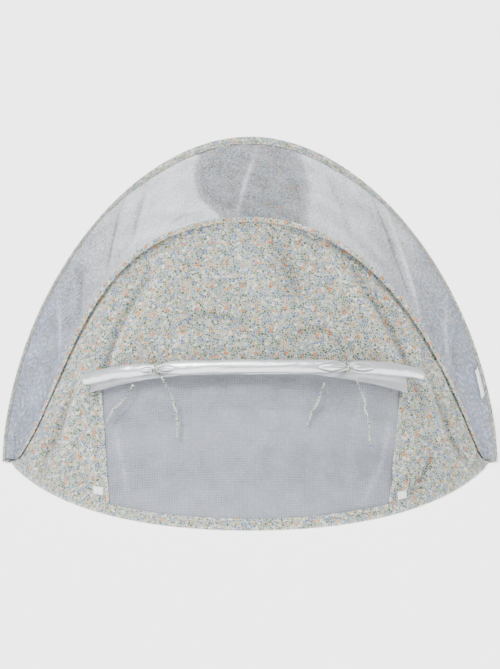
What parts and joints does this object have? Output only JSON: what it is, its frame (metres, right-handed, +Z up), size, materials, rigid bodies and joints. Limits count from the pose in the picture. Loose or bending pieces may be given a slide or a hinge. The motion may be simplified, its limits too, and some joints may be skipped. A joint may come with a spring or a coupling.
{
  "type": "pop-up tent",
  "caption": "Low pop-up shade tent on spring-wire hoops, with a mesh roof, a mesh window under a rolled-up cover, and a doorway behind. Folds like a fan.",
  "frame": {"origin": "on the ground, under the middle of the floor, half way between the two corners", "axes": "+X to the right seen from the window side, from corner to corner; +Y to the back, away from the window; +Z up"},
  "size_m": [1.2, 0.872, 0.7622],
  "materials": {
    "spring_wire": "tempered, bright",
    "crimp_tube": "plain",
    "floral_cloth": "woven print",
    "net": "open knitted mesh",
    "silver_cloth": "aluminium-coated, satin",
    "floor_cloth": "coated weave",
    "hook_and_loop": "short pile",
    "label_tape": "satin tape"
  },
  "bodies": {
    "root": {"rear_ground_wire": "spring_wire", "rear_ground_ferrule": "crimp_tube", "rear_ground_sleeve": "floral_cloth", "floor_rear": "floor_cloth", "rear_panel": "floral_cloth", "doorway_binding": "floral_cloth", "care_label": "label_tape"},
    "rear_arch": {"rear_arch_wire": "spring_wire", "rear_arch_sleeve": "floral_cloth", "top_mesh": "net", "side_label": "label_tape"},
    "front_arch": {"front_arch_wire": "spring_wire", "front_arch_sleeve": "floral_cloth", "front_panel": "floral_cloth", "window_mesh": "net", "cover_roll": "silver_cloth", "cover_flap": "silver_cloth", "tie_loop_left": "floral_cloth", "tie_loop_right": "floral_cloth", "tie_knot_left": "floral_cloth", "tie_knot_right": "floral_cloth", "tie_tail_left_outer": "floral_cloth", "tie_tail_left_inner": "floral_cloth", "tie_tail_right_outer": "floral_cloth", "tie_tail_right_inner": "floral_cloth"},
    "front_ground": {"front_ground_wire": "spring_wire", "front_ground_ferrule": "crimp_tube", "front_ground_sleeve": "floral_cloth", "floor_front": "floor_cloth", "hook_loop_patch_left": "hook_and_loop", "hook_loop_patch_right": "hook_and_loop"}
  },
  "joints": [
    {"name": "rear_arch_fold", "type": "hinge", "parent": "root", "child": "rear_arch", "pos_m": [0, 0, 0.004], "axis": [-1, 0, 0], "range_deg": [0, 69.4], "stiffness_Nm_per_rad": 1.5, "springref_deg": -34.38, "deforming": ["rear_panel", "doorway_binding", "care_label"]},
    {"name": "front_arch_fold", "type": "hinge", "parent": "rear_arch", "child": "front_arch", "pos_m": [0, 0, 0.004], "axis": [-1, 0, 0], "range_deg": [0, 19.8], "deforming": ["top_mesh", "side_label"]},
    {"name": "front_ground_fold", "type": "hinge", "parent": "front_arch", "child": "front_ground", "pos_m": [0, 0, 0.004], "axis": [-1, 0, 0], "range_deg": [0, 77.2], "deforming": ["front_panel", "window_mesh", "cover_roll", "cover_flap", "tie_loop_left", "tie_loop_right", "tie_knot_left", "tie_knot_right", "hook_loop_patch_left", "hook_loop_patch_right", "tie_tail_left_outer", "tie_tail_left_inner", "tie_tail_right_outer", "tie_tail_right_inner"]}
  ],
  "couplings": [
    {"joint": "front_arch_fold", "follows": "rear_arch_fold", "ratio": 0.28242},
    {"joint": "front_ground_fold", "follows": "rear_arch_fold", "ratio": 1.1095}
  ]
}
